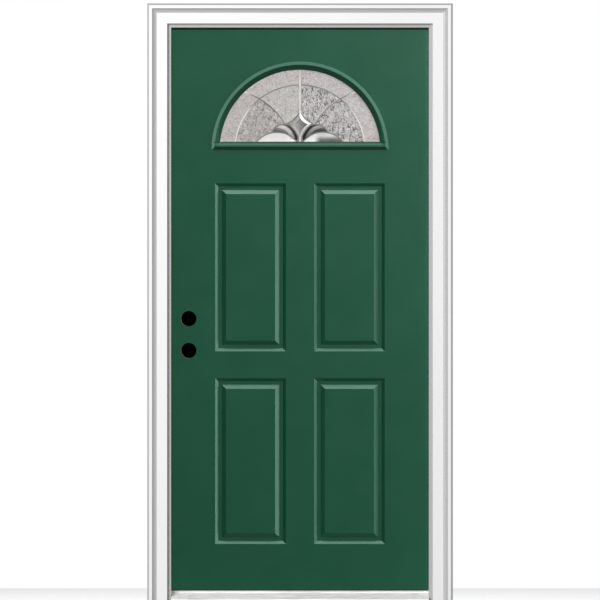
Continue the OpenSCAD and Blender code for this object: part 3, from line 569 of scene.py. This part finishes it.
def resample(corners, step):
    """The same outline with points at most a step apart."""
    points = []
    for a, b in zip(corners, corners[1:] + corners[:1]):
        n = max(1, math.ceil(math.dist(a, b) / step))
        points += [(a[0] + (b[0] - a[0]) * i / n, a[1] + (b[1] - a[1]) * i / n) for i in range(n)]
    return points


# ---------- cut glass ----------

OUTLINE_STEP = 3 * MM
BEVEL_RISE = 1.8 * MM
BEVEL_EDGE = 0.9            # the share of the rise that slopes: the rest is an upright edge
BEVEL_STEPS = 6
FIELD_RINGS = (0.75, 0.5, 0.25)         # rings within the flat field, as shares of its size
STAR_CENTRE, STAR_FIELD = 0.52, 0.62    # the centre's height, and the flat field's size, as shares
LEAF_CENTRE, LEAF_FIELD = 0.3, 0.66
BUD_FIELD = 0.5
BUD_LIFT = 6 * MM           # the bud's centre above the middle of its box
# painted shade: how much darker each bud is painted, and how much darker towards the star
BUD_SHADE = {-1: 20, 1: 70}             # how much darker the left and the right bud are
STAR_SHADE, STAR_SHADE_REACH = 70, 0.03     # a bud's darkening, and how far out it is full
# where the right leaf's painted shade starts, and how wide its edge is
LEAF_SHADE_START, LEAF_SHADE_WIDTH = -0.03, 0.02
# painted highlights and painted shade, as screen greys: of the buds, from the leaf's reach out to
# their own, and of the leaves, upwards
BUD_GREYS = [(0, 84), (0.2, 104), (0.3, 150), (0.38, 112), (0.5, 208), (0.78, 236), (0.9, 120),
             (1, 96)]
LEFT_LEAF_GREYS = [(0, 205), (0.3, 232), (0.55, 222), (0.8, 230), (1, 200)]
RIGHT_LEAF_GREYS = [(0, 84), (0.25, 100), (0.45, 140), (0.66, 206), (1, 210)]
# the right leaf's painted highlight, outside its painted shade
RIGHT_LEAF_LIGHT = 236


def grey(v):
    """A screen grey, kept between black and white, as a linear value."""
    v = max(0, min(255, v))
    return linear(v, v, v)[0]


def between(value, stops):
    """A value read off straight lines between (place, value) stops."""
    for (p0, v0), (p1, v1) in zip(stops, stops[1:]):
        if value <= p1:
            return v0 + (v1 - v0) * max(0, (value - p0) / (p1 - p0))
    return stops[-1][1]


def bevelled_piece(node, centre, field, tone, material):
    """A cut piece of glass that stands for a CAD node, with its outline and a flat back.

    Its border slopes up to the field, a smaller copy of the outline about the centre. tone(x, z,
    on_border) gives the linear grey of a place beside the centre: its painted highlight or painted
    shade.
    """
    corners, front, back = outline_of(node)
    outline = resample(corners, OUTLINE_STEP)
    n = len(outline)
    slope = BEVEL_RISE * BEVEL_EDGE
    rings = [(1.0, front + BEVEL_RISE)]
    for i in range(BEVEL_STEPS + 1):
        done = i / BEVEL_STEPS
        rings.append((1 + (field - 1) * done, front + slope * (1 - done)))
    rings += [(field * share, front) for share in FIELD_RINGS]
    verts = [(x, back, z) for x, z in outline]
    for scale, y in rings:
        verts += [(centre[0] + (x - centre[0]) * scale, y, centre[1] + (z - centre[1]) * scale)
                  for x, z in outline]
    verts.append((centre[0], front, centre[1]))
    faces = [tuple(range(n))]
    for r in range(len(rings)):
        a, b = r * n, (r + 1) * n
        faces += [(a + (i + 1) % n, a + i, b + i, b + (i + 1) % n) for i in range(n)]
    last = len(rings) * n
    faces += [(last + (i + 1) % n, last + i, len(verts) - 1) for i in range(n)]
    piece = new_object(node + "_cut", verts, faces, closed=True)
    mesh = piece.data
    # each facet's painted highlight or painted shade, as a grey
    colours = mesh.color_attributes.new("tone", "FLOAT_COLOR", "CORNER")
    border_end = 1 + (BEVEL_STEPS + 2) * n
    for face in mesh.polygons:
        for loop in face.loop_indices:
            v = mesh.vertices[mesh.loops[loop].vertex_index].co
            g = tone(v.x - centre[0], v.z - centre[1], face.index < border_end)
            colours.data[loop].color = (g, g * 0.985, g * 0.97, 1)
    mesh.materials.append(material)
    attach(piece, "door")
    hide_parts(node)
    return piece


def star_tone(x, z, on_border):
    """Painted highlights and shade: the border's facets, brightest at the upper right, round a
    field painted darker that way.
    """
    if not on_border:
        return grey(132 - 1800 * x - 500 * z)
    if x > 0:
        return grey(236) if z > 0 else grey(206)
    return grey(176 + 600 * x) if z > 0 else grey(200)


def make_bud_and_leaf(side, sign, material):
    """One side's bud, which arches over its leaf. sign is -1 on the left and 1 on the right."""
    leaf_low, leaf_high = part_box(side + "_leaf_bevel")
    low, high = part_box(side + "_bud_bevel")
    middle = (low.x + high.x) / 2
    bud_x, bud_z = middle, (low.z + high.z) / 2 + BUD_LIFT
    heart = (leaf_low.x + leaf_high.x) / 2, leaf_low.z
    leaf_reach = leaf_high.z - leaf_low.z
    bud_reach = math.dist(heart, (middle, high.z))

    def bud_tone(x, z, on_border):
        reach = math.dist(heart, (bud_x + x, bud_z + z))
        tone = between((reach - leaf_reach) / (bud_reach - leaf_reach), BUD_GREYS)
        towards_star = max(0, -sign * x / STAR_SHADE_REACH)
        return grey(tone - BUD_SHADE[sign] - STAR_SHADE * towards_star ** 2)

    def leaf_tone(x, z, on_border):
        height = LEAF_CENTRE + z / leaf_reach
        if sign < 0:
            return grey(between(height, LEFT_LEAF_GREYS))
        shaded = max(0, min(1, (x - LEAF_SHADE_START) / LEAF_SHADE_WIDTH))
        dark = between(height, RIGHT_LEAF_GREYS)
        return grey(RIGHT_LEAF_LIGHT + (dark - RIGHT_LEAF_LIGHT) * shaded)

    bud = bevelled_piece(side + "_bud_bevel", (bud_x, bud_z), BUD_FIELD, bud_tone, material)
    leaf_centre = heart[0], leaf_low.z + leaf_reach * LEAF_CENTRE
    leaf = bevelled_piece(side + "_leaf_bevel", leaf_centre, LEAF_FIELD, leaf_tone, material)
    return [bud, leaf]


def make_cut_glass():
    """The star in the middle of the leaded panel, and the bud and leaf on each side of it."""
    material = cut_glass()
    low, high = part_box("star_bevel")
    centre = 0, low.z + (high.z - low.z) * STAR_CENTRE
    made = [bevelled_piece("star_bevel", centre, STAR_FIELD, star_tone, material)]
    for side, sign in (("left", -1), ("right", 1)):
        made += make_bud_and_leaf(side, sign, material)
    return made


# ---------- the seal over the door ----------

LIP_DROP = 0.8 * MM         # how far the lip hangs below the bulb's upper part
LIP_HALF_WIDTH = 0.4 * MM
LIP_ROOT = 0.1 * MM         # how much wider the lip is where it leaves the bulb
ARC_STEPS = 10
SEAL_STEPS = 24


def make_head_seal():
    """The head's rubber seal: a bulb in the rebate, with a lip that hangs over the slab's edge."""
    low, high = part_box("head_seal")
    depth = high.y - low.y
    bulb = depth / 4
    middle, lip_y = low.y + depth / 2, low.y + depth / 4
    lip_end = low.z - bulb * 0.4 - LIP_DROP
    turns = [-math.pi * i / ARC_STEPS for i in range(ARC_STEPS + 1)]
    arc = [(middle + bulb * math.cos(a), low.z + bulb * math.sin(a)) for a in turns]
    section = [(high.y, high.z)] + [(y, z) for y, z in arc if y > lip_y] + [
        (lip_y + LIP_HALF_WIDTH + LIP_ROOT, low.z - bulb - LIP_DROP * 0.4),
        (lip_y + LIP_HALF_WIDTH, lip_end), (lip_y - LIP_HALF_WIDTH, lip_end),
        (low.y, low.z - bulb * 0.2), (low.y, high.z)]
    n = len(section)
    xs = [low.x + (high.x - low.x) * i / SEAL_STEPS for i in range(SEAL_STEPS + 1)]
    verts = [(x, y, z) for x in xs for y, z in section]
    faces = [tuple(range(n))[::-1], tuple(range(SEAL_STEPS * n, SEAL_STEPS * n + n))]
    for k in range(SEAL_STEPS):
        a, b = k * n, (k + 1) * n
        faces += [(a + i, a + (i + 1) % n, b + (i + 1) % n, b + i) for i in range(n)]
    seal = new_object("head_seal_lip", verts, faces, closed=True)
    seal.data.materials.append(nodes["head_seal"].data.materials[0])
    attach(seal, "frame")
    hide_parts("head_seal")
    return seal


# ---------- the studio: world, floor and camera; and cards of painted shade in the lock bores ---

WORLD_FILL = 0.2
FLOOR_SIDE, FLOOR_FRONT, FLOOR_BACK = 2.4, -3.0, 1.15
CARD_CORNERS = 64
VIEW_WIDTH = 2.1            # across the picture, at the object's front
VIEW_MIDDLE = 1.0385        # the picture's middle, below the object's top
LENS_MM, SENSOR_MM = 400, 36
CLIP_END = 200


def make_world():
    """White where it is seen straight, and a softer light on everything else."""
    world = bpy.data.worlds.new("studio")
    scene.world = world
    world.use_nodes = True
    tree = world.node_tree
    path = tree.nodes.new("ShaderNodeLightPath")
    strength = tree.nodes.new("ShaderNodeMapRange")
    strength.inputs["To Min"].default_value = WORLD_FILL
    strength.inputs["To Max"].default_value = 1.0
    tree.links.new(path.outputs["Is Camera Ray"], strength.inputs["Value"])
    background = tree.nodes["Background"]
    background.inputs["Color"].default_value = PURE_WHITE
    tree.links.new(strength.outputs["Result"], background.inputs["Strength"])


def make_floor():
    """A pale floor, wide in front and deep enough behind for the door to swing over it.

    It is seen, but it gives the object no bounced light and doesn't show in its reflections.
    """
    x, front, back = FLOOR_SIDE, FLOOR_FRONT, FLOOR_BACK
    corners = [(-x, front, 0), (x, front, 0), (x, back, 0), (-x, back, 0)]
    floor = new_object("studio_floor", corners, [(0, 1, 2, 3)])
    m = Shader("studio_floor", neutral(0.93), 0.8)
    m.link(m.ramp(m.noise(3, 3), [(0.3, neutral(0.92)), (0.7, neutral(0.94))]), "Base Color")
    floor.data.materials.append(m.material)
    floor.visible_diffuse = False
    floor.visible_glossy = False
    return floor


def make_bore_shades():
    """A black card halfway through each lock bore, carried with the door: painted shade, for the
    dark room behind.
    """
    black = Shader("black_card", neutral(0), 1.0)
    black.set("Specular IOR Level", 0.0)
    stops = [(0, neutral(0)), (1, neutral(0.0004))]
    black.link(black.ramp(black.noise(50), stops), "Base Color")
    turns = [i * math.tau / CARD_CORNERS for i in range(CARD_CORNERS)]
    for mount in record["mounts"]:
        if mount["name"].endswith("lock_bore"):
            x, y, z = mount["pos_m"]
            r = mount["dims"]["r_mm"] * MM
            ring = [(x + r * math.cos(a), y, z + r * math.sin(a)) for a in turns]
            card = new_object(mount["name"] + "_shade", ring, [tuple(range(CARD_CORNERS))])
            card.data.materials.append(black.material)
            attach(card, "door")


def make_camera():
    """Straight on, from far away, framed on the doorway."""
    low, high = cad_box
    data = bpy.data.cameras.new("camera")
    data.lens = LENS_MM
    data.sensor_width = SENSOR_MM
    data.clip_end = CLIP_END
    camera = bpy.data.objects.new("camera", data)
    scene.collection.objects.link(camera)
    away = VIEW_WIDTH * LENS_MM / SENSOR_MM
    camera.location = (0, low.y - away, high.z - VIEW_MIDDLE)
    camera.rotation_euler = (math.pi / 2, 0, 0)
    scene.camera = camera


# ---------- lamps ----------

GLAZING_SLOTS = ("textured_glass", "bevel_glass", "came_metal", "clear_glass")
DOORWAY = (0, 0.1, 1.05)
SQUARE_KEY = (3.4, 3.4)
SQUARE_GLASS = (2.4, 2.4)


def collection_of(name, objects):
    """A collection for light linking."""
    made = bpy.data.collections.new(name)
    for o in objects:
        made.objects.link(o)
    return made


def softbox(name, place, aim, size, radiance, lit, shading=None):
    """A rectangular lamp whose face has the given brightness, whatever its size.

    It lights only the collection lit. If shading is given, only what is in that collection casts
    the lamp's shadows.
    """
    width, height = size
    data = bpy.data.lights.new(name, "AREA")
    data.shape = "RECTANGLE"
    data.size, data.size_y = width, height
    data.energy = radiance * math.pi * width * height
    lamp = bpy.data.objects.new(name, data)
    scene.collection.objects.link(lamp)
    lamp.location = place
    lamp.rotation_euler = (Vector(aim) - Vector(place)).to_track_quat("-Z", "Y").to_euler()
    lamp.light_linking.receiver_collection = lit
    if shading:
        lamp.light_linking.blocker_collection = shading


def make_lights(floor, cut_pieces, head_seal):
    """Lamps for the frame, the door, the glass, the sill and the floor, each set on its own.

    The door's lamps ignore the frame's depth, which would shade the slab. The panes are lit with
    the glass, because a lamp that lights a pane also lights what is seen through it.
    """
    bodies = record["behaviour"]["bodies"]
    slots = {entry["node"]: entry["material_slot"] for entry in record["subparts"]}
    glazing = [nodes[n] for n in bodies["door"] if slots[n] in GLAZING_SLOTS]
    slab = [nodes[n] for n in bodies["door"] if slots[n] not in GLAZING_SLOTS]
    surround = [nodes[n] for n in bodies["frame"]] + [head_seal]
    glass_lit = collection_of("lit_as_glass", glazing + cut_pieces)
    door_lit = collection_of("lit_as_door", slab)
    frame_lit = collection_of("lit_as_frame", surround)
    floor_lit = collection_of("lit_as_floor", [floor])
    lite_lit = collection_of("lit_as_lite_frame", [nodes["outer_lite_frame"]])
    cames = collection_of("shades_glass", [nodes["caming"]])
    sill_lit = collection_of("lit_as_sill", [nodes["sill_deck"], nodes["sill_cap"]])

    softbox("frame_key", (-3.7, -11.8, 4.2), DOORWAY, (4.2, 4.2), 23.0, frame_lit)
    softbox("door_key", (3.6, -9.0, 4.6), DOORWAY, SQUARE_KEY, 12.0, door_lit, door_lit)
    softbox("glass_key", (2.8, -7.0, 3.8), DOORWAY, SQUARE_GLASS, 11.0, glass_lit, cames)
    softbox("sill_wash", (-0.4, -5.0, 2.6), (0, 0, 0), (2.4, 1.6), 5.0, sill_lit, sill_lit)
    for side, y in (("front", -1), ("back", 1)):
        strip, top = (-8.0 * y, 2.5 * y, 1.05), (0, 2.0 * y, 6.5)
        softbox(side + "_strip", strip, (0, 0, 1.05), (3.2, 8.3), 5.2, door_lit, door_lit)
        softbox(side + "_top_strip", top, (0, 0, 1), (5.0, 2.8), 5.0, door_lit, door_lit)
    softbox("left_strip", (-3.0, -0.7, 1.7), (0, 0, 1.6), (1.2, 2.4), 5.0, lite_lit, door_lit)
    softbox("floor_wash", (0, -2.0, 5.0), (0, -0.5, 0), (4.0, 3.0), 9.0, floor_lit, floor_lit)
    softbox("back_key", (-3.6, 9.0, 4.6), DOORWAY, SQUARE_KEY, 17.0, door_lit)
    softbox("left_rim", (-8.0, 6.0, 3.0), DOORWAY, SQUARE_KEY, 12.2, frame_lit)
    softbox("right_rim", (8.0, 6.0, 3.0), DOORWAY, SQUARE_KEY, 12.2, frame_lit)
    softbox("glass_back_key", (-2.0, 5.0, 7.0), (0, 0.1, 1.6), SQUARE_GLASS, 12.0, glass_lit, cames)


finish_nodes()
cut_pieces = make_cut_glass()
head_seal = make_head_seal()
make_world()
make_camera()
make_bore_shades()
make_lights(make_floor(), cut_pieces, head_seal)
scene.view_settings.view_transform = "Standard"
